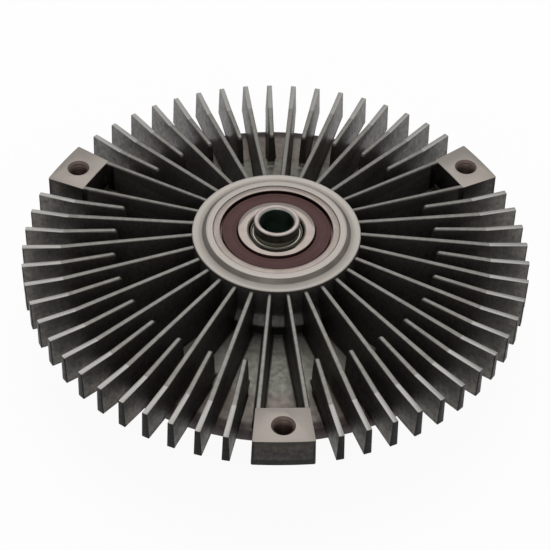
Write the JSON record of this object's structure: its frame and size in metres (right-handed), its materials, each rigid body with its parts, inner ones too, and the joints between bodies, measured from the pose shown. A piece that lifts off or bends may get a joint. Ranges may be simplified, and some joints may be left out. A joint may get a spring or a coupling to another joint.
{
  "type": "viscous fan clutch",
  "caption": "Viscous fan clutch with radial cooling fins, tapped fan lugs, a sealed ball bearing, a hollow drive shaft and a bimetal coil that turns its inner valve.",
  "frame": {"origin": "on the shaft's axis, in the plane that the front cover's fins rest on", "axes": "+Z along the shaft from the front cover to the bearing and the spigot; -Y towards the first fan lug"},
  "size_m": [0.19, 0.19, 0.0593],
  "materials": {
    "cast_aluminium": "as cast and darkened, with faced fin edges and lugs",
    "turned_steel": "turned",
    "bearing_steel": "ground",
    "brown_rubber": "moulded, satin",
    "black_rubber": "moulded, matte",
    "brown_nylon": "moulded",
    "rotor_aluminium": "machined",
    "plate_steel": "rolled sheet",
    "bimetal": "rolled strip",
    "zinc_steel": "zinc plated"
  },
  "bodies": {
    "housing": {"rear_housing": "cast_aluminium", "front_cover": "cast_aluminium", "cover_seal_ring": "black_rubber", "separator_plate": "plate_steel", "plate_screw_1": "zinc_steel", "plate_screw_2": "zinc_steel", "plate_screw_3": "zinc_steel", "bearing_outer_ring": "bearing_steel", "bearing_seal_rear": "brown_rubber", "bearing_seal_front": "brown_rubber", "coil_post": "zinc_steel", "bimetal_coil": "bimetal"},
    "shaft": {"drive_shaft": "turned_steel", "bearing_inner_ring": "bearing_steel", "rotor_disc": "rotor_aluminium", "rotor_circlip": "zinc_steel"},
    "cage": {"ball_cage": "brown_nylon", "bearing_ball_1": "bearing_steel", "bearing_ball_2": "bearing_steel", "bearing_ball_3": "bearing_steel", "bearing_ball_4": "bearing_steel", "bearing_ball_5": "bearing_steel", "bearing_ball_6": "bearing_steel", "bearing_ball_7": "bearing_steel", "bearing_ball_8": "bearing_steel"},
    "valve": {"valve_shaft": "zinc_steel", "valve_clip": "zinc_steel", "valve_seal_ring": "black_rubber", "valve_arm": "plate_steel"}
  },
  "joints": [
    {"name": "shaft_spin", "type": "hinge", "parent": "housing", "child": "shaft", "pos_m": [0, 0, 0.0473], "axis": [0, 0, 1], "continuous": true},
    {"name": "cage_spin", "type": "hinge", "parent": "housing", "child": "cage", "pos_m": [0, 0, 0.0473], "axis": [0, 0, 1], "continuous": true},
    {"name": "valve_turn", "type": "hinge", "parent": "housing", "child": "valve", "pos_m": [0, 0, 0.009], "axis": [0, 0, 1], "range_deg": [0, 35], "stiffness_Nm_per_rad": 0.05, "deforming": ["bimetal_coil"]}
  ],
  "couplings": [
    {"joint": "cage_spin", "follows": "shaft_spin", "ratio": 0.3815}
  ]
}
